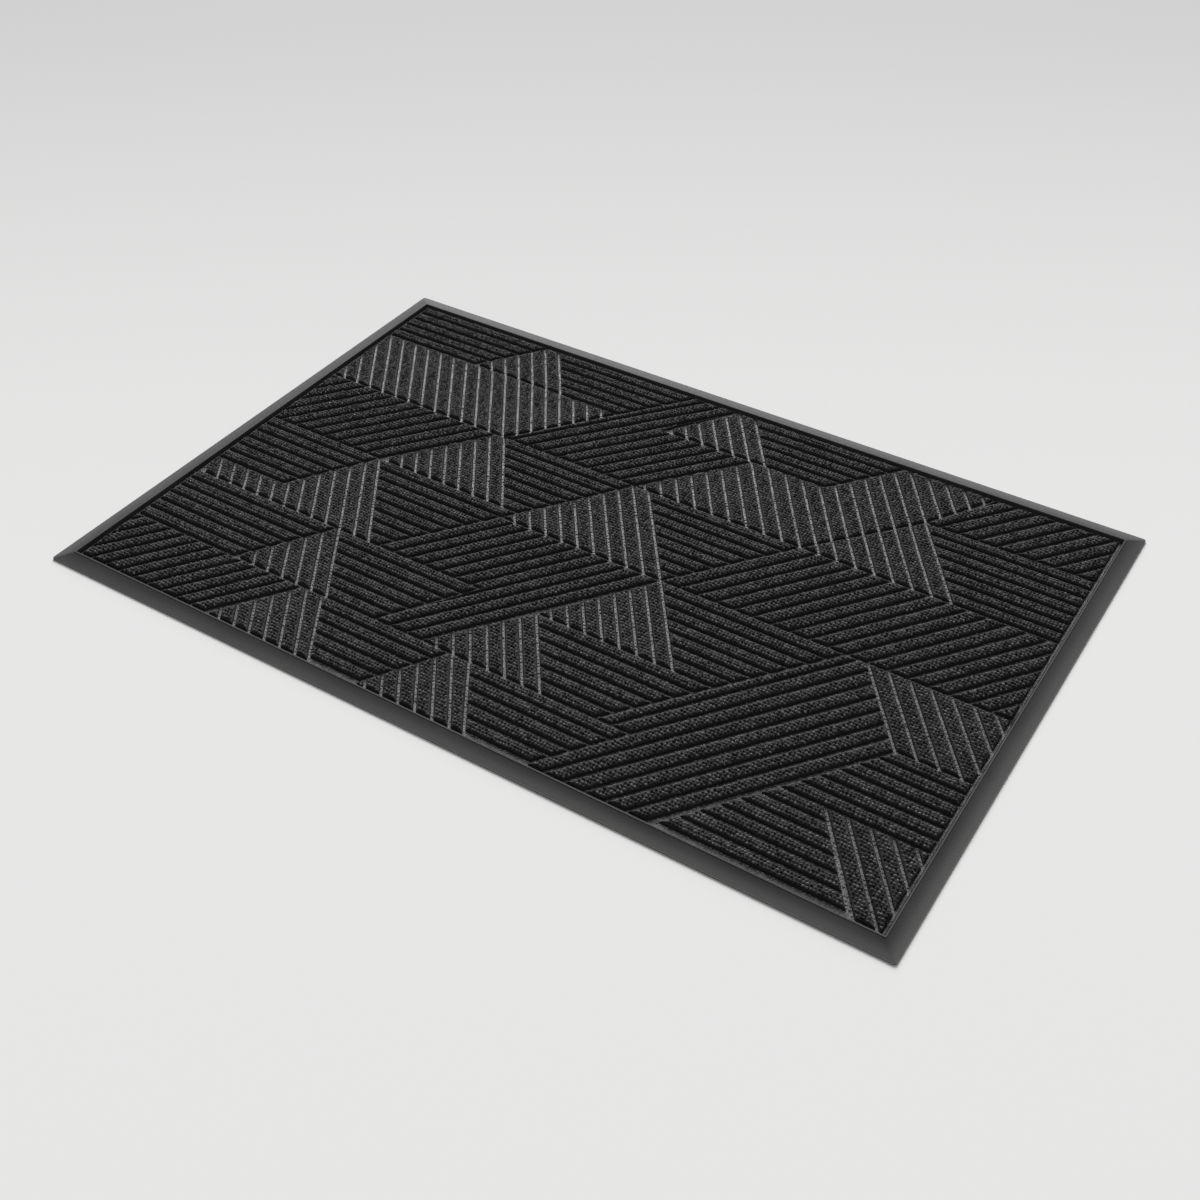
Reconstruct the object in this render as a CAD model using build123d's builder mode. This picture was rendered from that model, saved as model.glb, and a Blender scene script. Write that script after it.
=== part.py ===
from build123d import *
import math
import os

os.makedirs("parts", exist_ok=True)

# Overall size of the mat, in millimetres. The origin is the middle of the underside.
mat_w = 914.0
mat_d = 610.0
corner_r = 3.0

# Rubber: a thin backing with a bevelled border that rises to a small bead round the carpet.
backing_t = 0.8
edge_h = 1.2
bevel_top = 5.2
bead_top = 5.6
border_w = 17.4
bead_w = 1.6
wall_draft = 1.2

# Shallow straight anti-slip grooves under the backing.
grip_pitch = 15.0
grip_w = 3.0
grip_deep = 0.3
grip_margin = 27.0

# Carpet: a woven cloth bonded on the backing, and the pile pressed flat between raised ribs.
cloth_t = 0.4
web_t = 0.4
rib_top = 6.0
side_gap = 0.3
channel_w = 2.2
rib_pitch = 14.9
middle_row = 2.1
groove_w = 2.2
rib_draft = 12.0

# Lines worked out from the sizes above.
pocket_w = mat_w - 2 * border_w
pocket_d = mat_d - 2 * border_w
floor_w = pocket_w - 2 * wall_draft
floor_d = pocket_d - 2 * wall_draft
carpet_w = floor_w - 2 * side_gap
carpet_d = floor_d - 2 * side_gap
cloth_top = backing_t + cloth_t
web_top = cloth_top + web_t

# The pressed pattern is laid out on rows one rib apart, counted down from row 0 near the back
# edge to row 38 near the front. Half a groove is left over all round, so the pattern is a little
# larger than the ribbed area it is cut to, and its middle row 19 lies just behind the middle.
field_w = carpet_w - 2 * channel_w + groove_w
field_d = carpet_d - 2 * channel_w + groove_w
level_rows = 2 * math.ceil(field_d / rib_pitch / 2) + 1
far = 700.0

# Slanting facets: groove spacing along a row, two points (x, row) of one groove, corners.
facets = [
    (19.2, (-242, 0), (-190, 5), [(-242, 0), (-190, 5), (-311, 5), (-256, 0)]),
    (18.7, (-266, 5), (-197, 12), [(-far, 5), (-114, 5), (-195, 12), (-far, 12)]),
    (19.8, (58, 5), (-27, 12), [(-54, 0), (2, 0), (-53, 5), (58, 5), (-27, 12), (-195, 12)]),
    (19.2, (21, 0), (73, 5), [(2, 0), (21, 0), (73, 5), (-53, 5)]),
    (20.2, (97, 5), (168, 12), [(58, 5), (144, 5), (202, 0), (305, 0), (258, 5), (168, 12), (-27, 12)]),
    (20.3, (331, 0), (272, 5), [(305, 0), (far, 0), (far, 5), (258, 5)]),
    (20.1, (258, 5), (330, 12), [(258, 5), (330, 12), (168, 12)]),
    (20.2, (-205, 12), (-286, 19), [(-far, 12), (-205, 12), (-286, 19), (-far, 19)]),
    (18.9, (-195, 12), (-124, 19), [(-205, 12), (-195, 12), (-124, 19), (-286, 19)]),
    (19.3, (-10, 12), (76, 20), [(-27, 12), (-10, 12), (76, 20), (-115, 20)]),
    (20.0, (168, 12), (76, 20), [(168, 12), (far, 12), (far, 20), (76, 20)]),
    (18.7, (-284, 19), (-205, 27), [(-286, 19), (-205, 27), (-far, 27), (-far, 25), (-344, 25)]),
    (19.1, (76, 20), (-70, 33), [(-115, 20), (76, 20), (-70, 33), (-126, 33), (-67, 27), (-193, 27)]),
    (19.1, (76, 20), (151, 27), [(76, 20), (151, 27), (0, 27)]),
    (
        20.7,
        (365, 26),
        (227, 38),
        [(275, 20), (298, 20), (365, 26), (227, 38.3), (102, 38.3), (160, 33), (123, 33)],
    ),
    (20.6, (298, 20), (365, 26), [(298, 20), (far, 20), (far, 26), (365, 26)]),
    (20.5, (342, 32), (409, 38), [(342, 32), (far, 32), (far, 38.3), (409, 38.3)]),
    (18.8, (-243, 27), (-185, 33), [(-246, 27), (-243, 27), (-185, 33), (-304, 33)]),
    (19.4, (0, 27), (65, 33), [(0, 27), (65, 33), (-70, 33)]),
    (19.1, (-14, 33), (38, 38), [(-37, 33), (-14, 33), (38, 38.3), (-86, 38.3)]),
    (19.2, (-214, 33), (-268, 38), [(-far, 33), (-214, 33), (-268, 38.3), (-far, 38.3)]),
    (19.0, (-190, 33), (-140, 38), [(-214, 33), (-190, 33), (-140, 38.3), (-268, 38.3)]),
]


def spot(x, row):
    return (x, middle_row + (19 - row) * rib_pitch)


# Rubber base: edge, bevel and bead in one moulding, hollowed for the carpet.
with BuildPart() as rubber_base:
    with BuildSketch():
        RectangleRounded(mat_w, mat_d, corner_r)
    extrude(amount=edge_h)
    with BuildSketch(Plane.XY.offset(edge_h)):
        RectangleRounded(mat_w - 1.0, mat_d - 1.0, corner_r - 0.5)
    with BuildSketch(Plane.XY.offset(bevel_top)):
        RectangleRounded(pocket_w + 2 * bead_w, pocket_d + 2 * bead_w, bead_w)
    loft()
    with BuildSketch(Plane.XY.offset(bevel_top)):
        RectangleRounded(pocket_w + 2 * bead_w, pocket_d + 2 * bead_w, bead_w)
    extrude(amount=bead_top - bevel_top)
    fillet(rubber_base.faces().sort_by(Axis.Z)[-1].outer_wire().edges(), 0.35)
    with BuildSketch(Plane.XY.offset(backing_t)):
        Rectangle(floor_w, floor_d)
    with BuildSketch(Plane.XY.offset(bead_top)):
        Rectangle(pocket_w, pocket_d)
    loft(mode=Mode.SUBTRACT)
    with BuildSketch():
        with GridLocations(0, grip_pitch, 1, math.floor((mat_d - 2 * grip_margin) / grip_pitch)):
            SlotOverall(mat_w - 2 * grip_margin, grip_w)
    extrude(amount=grip_deep, mode=Mode.SUBTRACT)
rubber_base.part.label = "rubber_base"
export_step(rubber_base.part, "parts/rubber_base.step")

# Carpet cloth: the flat woven sheet the pile is held in, bonded down on the backing.
with BuildPart() as carpet_cloth:
    with BuildSketch(Plane.XY.offset(backing_t)):
        Rectangle(carpet_w, carpet_d)
    extrude(amount=cloth_t)
carpet_cloth.part.label = "carpet_cloth"
export_step(carpet_cloth.part, "parts/carpet_cloth.step")

# Rib outlines: each slanting facet is cut into ribs, then the level ribs fill what is left.
rib_outlines = []
margins = []
for step, start, end, corners in facets:
    x_start, y_start = spot(*start)
    x_end, y_end = spot(*end)
    slant = math.degrees(math.atan2(y_end - y_start, x_end - x_start))
    x_mid = (x_start + x_end) / 2
    y_mid = (y_start + y_end) / 2
    with BuildSketch() as facet:
        with BuildLine():
            Polyline([spot(x, row) for x, row in corners], close=True)
        make_face()
    with BuildSketch() as margin:
        add(facet.sketch)
        offset(amount=groove_w / 2, kind=Kind.INTERSECTION)
    with BuildSketch() as slanting:
        add(facet.sketch)
        offset(amount=-groove_w / 2, kind=Kind.INTERSECTION)
        with GridLocations(step, 0, 2 * math.ceil(far / step) + 1, 1):
            with Locations((x_mid, y_mid)):
                Rectangle(far, groove_w, rotation=slant, mode=Mode.SUBTRACT)
        Rectangle(field_w - groove_w, field_d - groove_w, mode=Mode.INTERSECT)
    margins.append(margin.sketch)
    rib_outlines += slanting.sketch.faces()

with BuildSketch() as level:
    Rectangle(field_w - groove_w, field_d - groove_w)
    for margin_sketch in margins:
        add(margin_sketch, mode=Mode.SUBTRACT)
    with Locations((0, middle_row)):
        with GridLocations(0, rib_pitch, 1, level_rows):
            Rectangle(field_w, groove_w, mode=Mode.SUBTRACT)
rib_outlines += level.sketch.faces()

# Each rib leans in towards its top; scraps hardly larger than a groove are pressed flat.
ribs = []
for outline in rib_outlines:
    if outline.area > 4 * groove_w**2 and outline.bounding_box().size.Y > 2 * groove_w:
        rib = extrude(outline, rib_top - web_top, taper=rib_draft)
        if not rib.is_valid:
            rib = extrude(outline, rib_top - web_top)
        ribs.append(Pos(0, 0, web_top) * rib)

# Carpet pile: the pressed floor of the grooves with every rib standing on it.
with BuildPart() as carpet_pile:
    with BuildSketch(Plane.XY.offset(cloth_top)):
        Rectangle(carpet_w, carpet_d)
    extrude(amount=web_t)
    add(ribs)
carpet_pile.part.label = "carpet_pile"
export_step(carpet_pile.part, "parts/carpet_pile.step")
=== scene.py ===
import math

import bmesh
import bpy
import numpy as np
from mathutils import Matrix, Vector
from mathutils.bvhtree import BVHTree


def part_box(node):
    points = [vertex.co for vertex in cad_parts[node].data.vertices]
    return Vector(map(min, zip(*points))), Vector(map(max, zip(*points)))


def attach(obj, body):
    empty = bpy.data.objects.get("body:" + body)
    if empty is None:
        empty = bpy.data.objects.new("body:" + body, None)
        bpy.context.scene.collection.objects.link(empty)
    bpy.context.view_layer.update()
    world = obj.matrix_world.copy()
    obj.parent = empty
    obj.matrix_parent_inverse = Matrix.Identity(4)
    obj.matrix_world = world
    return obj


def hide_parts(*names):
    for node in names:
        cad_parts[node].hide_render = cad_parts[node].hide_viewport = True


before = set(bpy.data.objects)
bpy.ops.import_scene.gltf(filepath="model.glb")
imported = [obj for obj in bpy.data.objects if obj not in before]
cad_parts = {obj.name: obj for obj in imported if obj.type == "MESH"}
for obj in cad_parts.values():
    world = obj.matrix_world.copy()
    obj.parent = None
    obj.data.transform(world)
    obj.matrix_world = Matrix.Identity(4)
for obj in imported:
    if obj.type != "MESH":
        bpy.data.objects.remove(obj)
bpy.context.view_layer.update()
scene = bpy.context.scene


# Rubber base. One moulding of dull black rubber: a thin backing and a bevelled border that rises
# to a small bead round the carpet. The mould leaves a fine cloth-like grain on the border. The
# colour is painted paler toward the thin outer edge, most on the front and right sides, as painted
# light for the shading of the border's rounded slope, and paler on the bead as a painted highlight.
class Wire:
    """One socket of a material's nodes, with arithmetic that adds Math nodes."""

    def __init__(self, nodes, socket):
        self.nodes = nodes
        self.socket = socket

    def math(self, operation, *values):
        return self.nodes.add("ShaderNodeMath", {"operation": operation}, *values)

    def __add__(self, other):
        return self.math("ADD", self, other)

    def __sub__(self, other):
        return self.math("SUBTRACT", self, other)

    def __rsub__(self, other):
        return self.math("SUBTRACT", other, self)

    def __mul__(self, other):
        return self.math("MULTIPLY", self, other)

    def wave(self):
        return self.math("SINE", self)

    def size(self):
        return self.math("ABSOLUTE", self)

    def step(self, low, high):
        return self.nodes.add(
            "ShaderNodeMapRange",
            {"interpolation_type": "SMOOTHSTEP"},
            self,
            low,
            high,
        )


class Finish:
    """A material under construction."""

    def __init__(self, name, color, roughness, **constants):
        self.material = bpy.data.materials.new(name)
        self.material.use_nodes = True
        self.material.diffuse_color = (*color, 1.0)
        self.tree = self.material.node_tree
        self.shader = self.tree.nodes["Principled BSDF"]
        self.shader.inputs["Base Color"].default_value = (*color, 1.0)
        self.shader.inputs["Roughness"].default_value = roughness
        for socket, value in constants.items():
            self.shader.inputs[socket.replace("_", " ")].default_value = value

    def add(self, kind, settings, *values, output=0, **named):
        node = self.tree.nodes.new(kind)
        for setting, value in settings.items():
            setattr(node, setting, value)
        places = list(enumerate(values)) + [(key.replace("_", " "), value) for key, value in named.items()]
        for place, value in places:
            if isinstance(value, Wire):
                self.tree.links.new(value.socket, node.inputs[place])
            elif value is not None:
                node.inputs[place].default_value = value
        return Wire(self, node.outputs[output])

    def place(self):
        return self.add("ShaderNodeTexCoord", {}, output="Object")

    def along(self, axis):
        return self.add("ShaderNodeSeparateXYZ", {}, self.place(), output=axis)

    def noise(self, scale, detail=2.0, roughness=0.5, stretch=(1.0, 1.0, 1.0)):
        spot = self.add("ShaderNodeVectorMath", {"operation": "MULTIPLY"}, self.place(), stretch)
        return self.add(
            "ShaderNodeTexNoise", {}, Vector=spot, Scale=scale, Detail=detail, Roughness=roughness
        )

    def blend(self, factor, low, high):
        low = (*low, 1.0) if isinstance(low, tuple) else low
        high = (*high, 1.0) if isinstance(high, tuple) else high
        node = self.tree.nodes.new("ShaderNodeMix")
        node.data_type = "RGBA"
        for socket, value in ((node.inputs[0], factor), (node.inputs[6], low), (node.inputs[7], high)):
            if isinstance(value, Wire):
                self.tree.links.new(value.socket, socket)
            else:
                socket.default_value = value
        return Wire(self, node.outputs[2])

    def drive(self, socket, wire):
        self.tree.links.new(wire.socket, self.shader.inputs[socket])

    def relief(self, height, distance, strength=1.0):
        bump = self.add("ShaderNodeBump", {}, Height=height, Distance=distance, Strength=strength)
        self.drive("Normal", bump)


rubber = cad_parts["rubber_base"]
mat_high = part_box("rubber_base")[1]

moulded = Finish("moulded_rubber", (0.04, 0.04, 0.041), 0.7, Specular_IOR_Level=0.12)
x, y = moulded.along("X"), moulded.along("Y")
weft = ((x + y * 0.6) * (2 * math.pi / 0.0019)).wave()
warp = ((y - x * 0.6) * (2 * math.pi / 0.0019)).wave()
grain = moulded.noise(900.0, 3.0)
moulded.relief(weft * warp * 0.3 + grain, 0.00025, 0.8)
# Painted light: paler toward the outer edge, weighted to the front and right sides, for the shading of the
# rounded border, plus a painted highlight on the bead.
inset = (mat_high.x - x.size()).math("MINIMUM", mat_high.x - x.size(), mat_high.y - y.size())
painted_front_right_light = (x * 0.8 - y + moulded.noise(9.0, 3.0) * 0.5).step(-0.35, 0.85)
painted_bead_highlight = moulded.along("Z").step(0.0053, 0.0056)
painted_border_light = (1.0 - inset.step(0.001, 0.015) + painted_bead_highlight * 0.4) * (painted_front_right_light * 0.75 + 0.25)
cloudy = moulded.noise(14.0, 4.0)
black = moulded.blend(cloudy.step(0.3, 0.75), (0.037, 0.037, 0.0385), (0.050, 0.050, 0.0515))
moulded.drive("Base Color", moulded.blend(painted_border_light, black, (0.108, 0.107, 0.105)))
moulded.drive("Roughness", grain.step(0.3, 0.7) * 0.16 + 0.62)
rubber.data.materials.clear()
rubber.data.materials.append(moulded.material)


# Carpet cloth. A thin flat sheet of plain woven cloth, cut to the pocket in the rubber and
# bonded down on the backing. It holds the tufts and is covered by them.
def deselect():
    if bpy.context.object and bpy.context.object.mode != "OBJECT":
        bpy.ops.object.mode_set(mode="OBJECT")
    bpy.ops.object.select_all(action="DESELECT")


def finished(piece, name, material):
    piece.name = name
    piece.data.name = name
    piece.data.materials.clear()
    piece.data.materials.append(material)
    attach(piece, "root")


cloth_low, cloth_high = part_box("carpet_cloth")
cloth_size = cloth_high - cloth_low
deselect()
bpy.ops.mesh.primitive_grid_add(
    x_subdivisions=44,
    y_subdivisions=30,
    size=1.0,
    location=(0.0, 0.0, cloth_low.z),
)
cloth = bpy.context.object
cloth.scale = (cloth_size.x, cloth_size.y, 1.0)
bpy.ops.object.transform_apply(location=True, rotation=True, scale=True)
thick = cloth.modifiers.new("thickness", "SOLIDIFY")
thick.thickness = cloth_size.z
thick.offset = 1.0
bpy.ops.object.modifier_apply(modifier=thick.name)

woven = Finish("woven_backing", (0.11, 0.11, 0.11), 0.85, Specular_IOR_Level=0.25)
thread_turn = 2 * math.pi / 0.0021
threads = (woven.along("X") * thread_turn).wave() * (woven.along("Y") * thread_turn).wave()
woven.relief(threads + woven.noise(1500.0), 0.0003)
woven.drive("Base Color", woven.blend(threads.step(-0.6, 0.8), (0.07, 0.07, 0.07), (0.14, 0.14, 0.14)))
finished(cloth, "woven_cloth", woven.material)
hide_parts("carpet_cloth")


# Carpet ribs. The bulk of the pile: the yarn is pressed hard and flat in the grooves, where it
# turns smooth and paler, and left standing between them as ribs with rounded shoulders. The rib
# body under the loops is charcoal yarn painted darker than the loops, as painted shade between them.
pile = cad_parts["carpet_pile"]
pile_low, pile_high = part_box("carpet_pile")
groove_floor = cloth_high.z + 0.0004

ribs = bpy.data.objects.new("carpet_ribs", pile.data.copy())
scene.collection.objects.link(ribs)
deselect()
bpy.context.view_layer.objects.active = ribs
ribs.select_set(True)
bpy.ops.object.mode_set(mode="EDIT")
bpy.ops.mesh.select_all(action="SELECT")
bpy.ops.mesh.remove_doubles(threshold=0.00001)
bpy.ops.mesh.select_all(action="DESELECT")
bpy.ops.mesh.select_mode(type="FACE")
edit = bmesh.from_edit_mesh(ribs.data)
for face in edit.faces:
    face.select = face.normal.z > 0.99 and face.calc_center_median().z > pile_high.z - 0.0001
bmesh.update_edit_mesh(ribs.data)
bpy.ops.mesh.dissolve_faces()
bpy.ops.transform.translate(value=(0.0, 0.0, -0.0030))
for inward, upward in ((0.0006, 0.0006), (0.0010, 0.0005), (0.0011, 0.0003)):
    edit = bmesh.from_edit_mesh(ribs.data)
    for face in edit.faces:
        if face.select and face.calc_area() < face.calc_perimeter() * inward * 1.5:
            face.select = False
    bmesh.update_edit_mesh(ribs.data)
    bpy.ops.mesh.remove_doubles(threshold=inward * 2.5)
    bpy.ops.mesh.inset(thickness=inward, depth=upward, use_individual=True)
bpy.ops.mesh.select_all(action="SELECT")
bpy.ops.mesh.quads_convert_to_tris()
bpy.ops.object.mode_set(mode="OBJECT")

pressed = Finish("pressed_yarn", (0.03, 0.03, 0.03), 0.8, Specular_IOR_Level=0.4)
height = pressed.along("Z")
floor_mask = 1.0 - height.step(groove_floor + 0.0001, groove_floor + 0.0006)
fibre = pressed.noise(1400.0, 3.0, 0.6)
clumps = pressed.noise(330.0, 2.0, 0.6)
# Painted shade: the rib body is near black, darker than the charcoal loops, for the shade in the gaps
# between and under them.
painted_gap_shade = pressed.blend(fibre.step(0.35, 0.72), (0.006, 0.006, 0.0062), (0.022, 0.022, 0.0225))
floor_shade = pressed.blend(clumps.step(0.35, 0.7), (0.016, 0.016, 0.0165), (0.058, 0.058, 0.059))
pressed.drive("Base Color", pressed.blend(floor_mask, painted_gap_shade, floor_shade))
pressed.drive("Roughness", 0.85 - floor_mask * 0.35)
pressed.relief(fibre + clumps * 1.5, 0.0006)
finished(ribs, "carpet_ribs", pressed.material)
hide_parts("carpet_pile")


# Carpet loops. Rows of heathered charcoal yarn loops, tufted along the mat: four rows to a rib,
# of which three stand on it and the fourth lies pressed in the groove. They are made in bands.
row_pitch = 0.0149 / 4
row_middle = 0.0021
loop_pitch = 0.0034
loop_half = (0.0015, 0.00105, 0.0015)
dice = np.random.default_rng(41)

heather = Finish("heather_loops", (0.05, 0.05, 0.05), 0.9, Specular_IOR_Level=0.3)
tone = heather.add("ShaderNodeAttribute", {"attribute_name": "tone"}, output="Fac")
fluff = heather.noise(1700.0, 3.0, 0.65)
flecks = heather.noise(700.0, 2.0, 0.6, (1.0, 2.2, 1.0))
mixed = tone * 0.8 + flecks.step(0.45, 0.68) * 0.3 + fluff * 0.3 - 0.18
heather.drive(
    "Base Color",
    heather.blend(mixed.step(0.0, 1.1), (0.012, 0.012, 0.0125), (0.24, 0.24, 0.247)),
)
heather.relief(fluff, 0.0005, 0.9)

solid = bmesh.new()
solid.from_mesh(pile.data)
carved = BVHTree.FromBMesh(solid)
solid.free()


def surface_height(x, y):
    spot, normal, face, distance = carved.ray_cast(Vector((x, y, 0.05)), Vector((0.0, 0.0, -1.0)))
    return spot.z if spot else 0.0


around = np.array([(math.cos(k * math.pi / 4), math.sin(k * math.pi / 4)) for k in range(8)]) * 0.0025
ring = [(0.0, 0.0), *around]
columns = int((pile_high.x - pile_low.x) / loop_pitch)
row_count = int((pile_high.y - row_middle) / row_pitch)
bands = 7
edges = np.linspace(-row_count, row_count + 1, bands + 1).astype(int)
for band in range(bands):
    first, last = int(edges[band]), int(edges[band + 1])
    many = last - first
    deselect()
    bpy.ops.mesh.primitive_uv_sphere_add(segments=7, ring_count=4, radius=1.0)
    loops = bpy.context.object
    bpy.ops.object.mode_set(mode="EDIT")
    bpy.ops.mesh.select_all(action="SELECT")
    bpy.ops.mesh.bisect(plane_co=(0.0, 0.0, -0.05), plane_no=(0.0, 0.0, 1.0), clear_inner=True)
    bpy.ops.mesh.select_all(action="SELECT")
    bpy.ops.transform.resize(value=loop_half, center_override=(0.0, 0.0, 0.0))
    bpy.ops.object.mode_set(mode="OBJECT")
    bpy.ops.object.shade_smooth()
    one = len(loops.data.vertices)
    for axis, count, pitch in ((0, columns, loop_pitch), (1, many, row_pitch)):
        rows = loops.modifiers.new("rows", "ARRAY")
        rows.count = count
        rows.use_relative_offset = False
        rows.use_constant_offset = True
        rows.constant_offset_displace = (pitch * (axis == 0), pitch * (axis == 1), 0.0)
        bpy.ops.object.modifier_apply(modifier=rows.name)
    shape = np.empty(len(loops.data.vertices) * 3)
    loops.data.vertices.foreach_get("co", shape)
    shape = shape.reshape(many, columns, one, 3)
    local = shape[0, 0].copy()
    middle_x = (np.arange(columns) - (columns - 1) / 2) * loop_pitch
    centre = np.zeros((many, columns, 2))
    centre[:, :, 0] = middle_x + dice.uniform(-0.25, 0.25, (many, 1)) * loop_pitch
    centre[:, :, 1] = row_middle + np.arange(first, last)[:, None] * row_pitch
    centre += dice.normal(0.0, 1.0, centre.shape) * (0.00030, 0.00018)
    tall = np.array(
        [[[surface_height(px + dx, py + dy) for dx, dy in ring] for px, py in row] for row in centre]
    )
    share = ((tall - groove_floor) / (pile_high.z - groove_floor)).clip(0.0, 1.0)
    full = share.mean(axis=2)
    flat = share[:, :, 0] < 0.2
    beside_pile = tall[:, :, 0] < groove_floor - 0.0002
    lost = (share[:, :, 0] > 0.2) & (share[:, :, 0] < 0.75) | beside_pile
    slope = (share[:, :, 1:, None] * around).sum(axis=2)
    lean = -slope / np.maximum(np.linalg.norm(slope, axis=2, keepdims=True), 1e-9)
    tilt = (np.where(flat, 0.0, 1.0 - full) * 1.8)[..., None]
    centre -= lean * tilt * 0.0008
    size = dice.uniform(0.84, 1.14, (many, columns, 1, 1))
    turn = dice.normal(0.0, 0.25, (many, columns))[..., None]
    turned = np.empty((many, columns, one, 3))
    turned[..., 0] = local[:, 0] * np.cos(turn) - local[:, 1] * np.sin(turn)
    turned[..., 1] = local[:, 0] * np.sin(turn) + local[:, 1] * np.cos(turn)
    turned[..., 2] = local[:, 2] * np.where(flat, 0.3, 1.0)[..., None]
    turned *= size
    outward = (turned[..., :2] * lean[:, :, None]).sum(axis=3)
    shape[..., :2] = centre[:, :, None] + turned[..., :2]
    shape[..., :2] += (turned[..., 2:] - loop_half[2]) * (lean * tilt)[:, :, None]
    shape[..., 2] = turned[..., 2] - outward * tilt
    standing = pile_high.z - loop_half[2] - 0.0044 * (1.0 - full)
    shape[..., 2] += np.where(flat, groove_floor - 0.0001, standing)[..., None]
    shape[..., 2] += dice.normal(0.0, 0.00012, (many, columns, 1))
    shape[..., 2] = shape[..., 2].clip(groove_floor - 0.0002, None)
    loops.data.vertices.foreach_set("co", shape.ravel())
    shades = np.where(flat, dice.uniform(0.25, 0.85, flat.shape), dice.beta(1.2, 1.7, flat.shape))
    tones = loops.data.attributes.new("tone", "FLOAT", "POINT")
    tones.data.foreach_set("value", np.repeat(shades.ravel(), one))
    loops.data.polygons.foreach_set("select", np.zeros(len(loops.data.polygons), bool))
    loops.data.edges.foreach_set("select", np.zeros(len(loops.data.edges), bool))
    loops.data.vertices.foreach_set("select", np.repeat(lost.ravel(), one))
    bpy.ops.object.mode_set(mode="EDIT")
    bpy.ops.mesh.select_mode(type="VERT")
    bpy.ops.mesh.delete(type="VERT")
    bpy.ops.object.mode_set(mode="OBJECT")
    loops.data.update()
    finished(loops, f"carpet_loops_{band + 1}", heather.material)


# The floor: plain studio paper, pale where the mat lies and painted greyer far behind it as painted shade
# where the light falls off.
deselect()
bpy.ops.mesh.primitive_plane_add(size=14.0, location=(0.0, 0.0, -0.0002))
floor = bpy.context.object
floor.name = "studio_floor"
paper = Finish("studio_paper", (0.78, 0.78, 0.78), 0.9, Specular_IOR_Level=0.1)
# Painted shade: the paper darkens with distance behind the mat, standing in for the falling light.
depth = paper.along("Y") * 0.84 - paper.along("X") * 0.54
paper.drive("Base Color", paper.blend(depth.step(-0.2, 1.9), (0.79, 0.79, 0.785), (0.58, 0.58, 0.58)))
floor.data.materials.append(paper.material)


# Light: a broad soft light low behind the mat, which rakes the ribs and runs along the grooves
# that point at it, and an even pale sky.
sun = bpy.data.lights.new("back_light", "SUN")
sun.energy = 5.4
sun.angle = math.radians(34.0)
lamp = bpy.data.objects.new("back_light", sun)
elevation, azimuth = math.radians(24.0), math.radians(-32.0)
toward = Vector(
    (
        math.sin(azimuth) * math.cos(elevation),
        math.cos(azimuth) * math.cos(elevation),
        math.sin(elevation),
    )
)
lamp.rotation_euler = toward.to_track_quat("Z", "Y").to_euler()
lamp.location = toward * 3.0
scene.collection.objects.link(lamp)
world = bpy.data.worlds.new("pale_sky")
scene.world = world
world.use_nodes = True
world.node_tree.nodes["Background"].inputs["Color"].default_value = (1.0, 1.0, 1.0, 1.0)
world.node_tree.nodes["Background"].inputs["Strength"].default_value = 0.30
scene.view_settings.view_transform = "Standard"


# Camera: standing off one corner of the mat and looking down across it.
camera_data = bpy.data.cameras.new("camera")
camera_data.lens = 46.13
camera_data.sensor_width = 36.0
camera_data.clip_end = 30.0
camera = bpy.data.objects.new("camera", camera_data)
scene.collection.objects.link(camera)
right = Vector((0.843579, 0.536991, -0.003769)).normalized()
back = Vector((0.409067, -0.638039, 0.652357)).normalized()
up = back.cross(right).normalized()
camera.matrix_world = (
    Matrix.Translation((0.64759, -1.01405, 0.96916)) @ Matrix((right, up, back)).transposed().to_4x4()
)
scene.camera = camera
